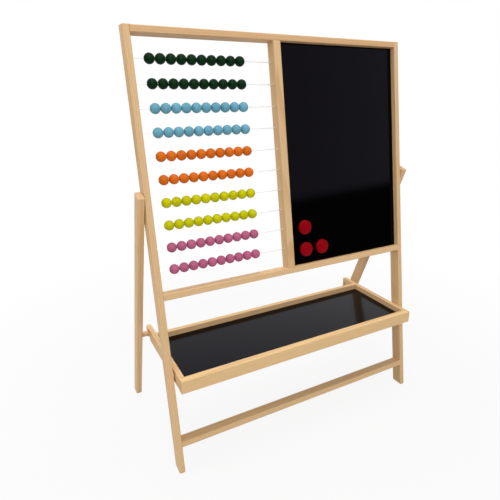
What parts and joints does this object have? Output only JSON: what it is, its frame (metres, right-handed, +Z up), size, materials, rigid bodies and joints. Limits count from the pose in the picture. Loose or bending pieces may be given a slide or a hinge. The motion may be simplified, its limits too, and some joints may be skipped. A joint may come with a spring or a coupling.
{
  "type": "kids easel",
  "caption": "Folding wooden kids easel with an abacus beside a black magnetic board, a tray that locks the rear legs, and round magnets.",
  "frame": {"origin": "on the floor, at the middle of the footprint of the open easel", "axes": "+Z up; +X to the right of a child in front of it; +Y runs back, from the board's face to the rear legs"},
  "size_m": [0.8196, 0.3984, 1.05],
  "materials": {
    "pine": "planed pine, clear satin lacquer",
    "beech": "turned beech, unfinished",
    "board_steel": "gloss black enamel on steel sheet",
    "fibreboard": "bare hardboard back",
    "tray_black": "gloss black laminate on fibreboard",
    "steel": "bright steel",
    "spacer_plastic": "nylon",
    "bead_green": "satin lacquer",
    "bead_blue": "satin lacquer",
    "bead_orange": "satin lacquer",
    "bead_lime": "satin lacquer",
    "bead_mauve": "satin lacquer",
    "magnet_red": "gloss moulded plastic",
    "ferrite": "sintered ferrite"
  },
  "bodies": {
    "front_frame": {"left_stile": "pine", "right_stile": "pine", "middle_stile": "pine", "top_rail": "pine", "mid_rail": "pine", "bottom_rail": "pine", "board_core": "fibreboard", "board_steel_face": "board_steel", "frame_dowels": "beech", "leg_pivot_bolts": "steel", "leg_pivot_washers": "steel", "leg_pivot_inserts": "steel", "tray_pivot_pins": "steel", "tray_pivot_spacers": "spacer_plastic", "abacus_wire_01": "steel", "abacus_wire_02": "steel", "abacus_wire_03": "steel", "abacus_wire_04": "steel", "abacus_wire_05": "steel", "abacus_wire_06": "steel", "abacus_wire_07": "steel", "abacus_wire_08": "steel", "abacus_wire_09": "steel", "abacus_wire_10": "steel"},
    "left_leg": {"left_rear_leg": "pine", "left_tray_peg": "beech", "left_leg_plug": "pine"},
    "right_leg": {"right_rear_leg": "pine", "right_tray_peg": "beech", "right_leg_plug": "pine"},
    "tray": {"tray_front_rail": "pine", "tray_rear_rail": "pine", "tray_left_rail": "pine", "tray_right_rail": "pine", "tray_panel": "tray_black", "tray_dowels": "beech"},
    "beads_01": {"bead_row_01": "bead_green"},
    "beads_02": {"bead_row_02": "bead_green"},
    "beads_03": {"bead_row_03": "bead_blue"},
    "beads_04": {"bead_row_04": "bead_blue"},
    "beads_05": {"bead_row_05": "bead_orange"},
    "beads_06": {"bead_row_06": "bead_orange"},
    "beads_07": {"bead_row_07": "bead_lime"},
    "beads_08": {"bead_row_08": "bead_lime"},
    "beads_09": {"bead_row_09": "bead_mauve"},
    "beads_10": {"bead_row_10": "bead_mauve"},
    "magnet_1": {"magnet_cap_1": "magnet_red", "magnet_disc_1": "ferrite"},
    "magnet_2": {"magnet_cap_2": "magnet_red", "magnet_disc_2": "ferrite"},
    "magnet_3": {"magnet_cap_3": "magnet_red", "magnet_disc_3": "ferrite"}
  },
  "joints": [
    {"name": "tray_lift", "type": "hinge", "parent": "front_frame", "child": "tray", "pos_m": [0, -0.13617, 0.2544], "axis": [1, 0, 0], "range_deg": [0, 69]},
    {"name": "left_leg_fold", "type": "hinge", "parent": "front_frame", "child": "left_leg", "pos_m": [-0.4018, -0.06087, 0.67293], "axis": [-1, 0, 0], "range_deg": [0, 26.5]},
    {"name": "right_leg_fold", "type": "hinge", "parent": "front_frame", "child": "right_leg", "pos_m": [0.4018, -0.06087, 0.67293], "axis": [-1, 0, 0], "range_deg": [0, 26.5]},
    {"name": "beads_01_slide", "type": "slide", "parent": "front_frame", "child": "beads_01", "axis": [1, 0, 0], "range_m": [-0.0259, 0.0773]},
    {"name": "beads_02_slide", "type": "slide", "parent": "front_frame", "child": "beads_02", "axis": [1, 0, 0], "range_m": [-0.0259, 0.0773]},
    {"name": "beads_03_slide", "type": "slide", "parent": "front_frame", "child": "beads_03", "axis": [1, 0, 0], "range_m": [-0.0259, 0.0773]},
    {"name": "beads_04_slide", "type": "slide", "parent": "front_frame", "child": "beads_04", "axis": [1, 0, 0], "range_m": [-0.0259, 0.0773]},
    {"name": "beads_05_slide", "type": "slide", "parent": "front_frame", "child": "beads_05", "axis": [1, 0, 0], "range_m": [-0.0259, 0.0773]},
    {"name": "beads_06_slide", "type": "slide", "parent": "front_frame", "child": "beads_06", "axis": [1, 0, 0], "range_m": [-0.0259, 0.0773]},
    {"name": "beads_07_slide", "type": "slide", "parent": "front_frame", "child": "beads_07", "axis": [1, 0, 0], "range_m": [-0.0259, 0.0773]},
    {"name": "beads_08_slide", "type": "slide", "parent": "front_frame", "child": "beads_08", "axis": [1, 0, 0], "range_m": [-0.0259, 0.0773]},
    {"name": "beads_09_slide", "type": "slide", "parent": "front_frame", "child": "beads_09", "axis": [1, 0, 0], "range_m": [-0.0259, 0.0773]},
    {"name": "beads_10_slide", "type": "slide", "parent": "front_frame", "child": "beads_10", "axis": [1, 0, 0], "range_m": [-0.0259, 0.0773]},
    {"name": "magnet_1_pull_off", "type": "slide", "parent": "front_frame", "child": "magnet_1", "axis": [0, -0.9842, 0.1771], "range_m": [0, 0.06]},
    {"name": "magnet_2_pull_off", "type": "slide", "parent": "front_frame", "child": "magnet_2", "axis": [0, -0.9842, 0.1771], "range_m": [0, 0.06]},
    {"name": "magnet_3_pull_off", "type": "slide", "parent": "front_frame", "child": "magnet_3", "axis": [0, -0.9842, 0.1771], "range_m": [0, 0.06]}
  ],
  "couplings": [
    {"joint": "left_leg_fold", "follows": "tray_lift", "ratio": 0.38406},
    {"joint": "right_leg_fold", "follows": "tray_lift", "ratio": 0.38406}
  ]
}
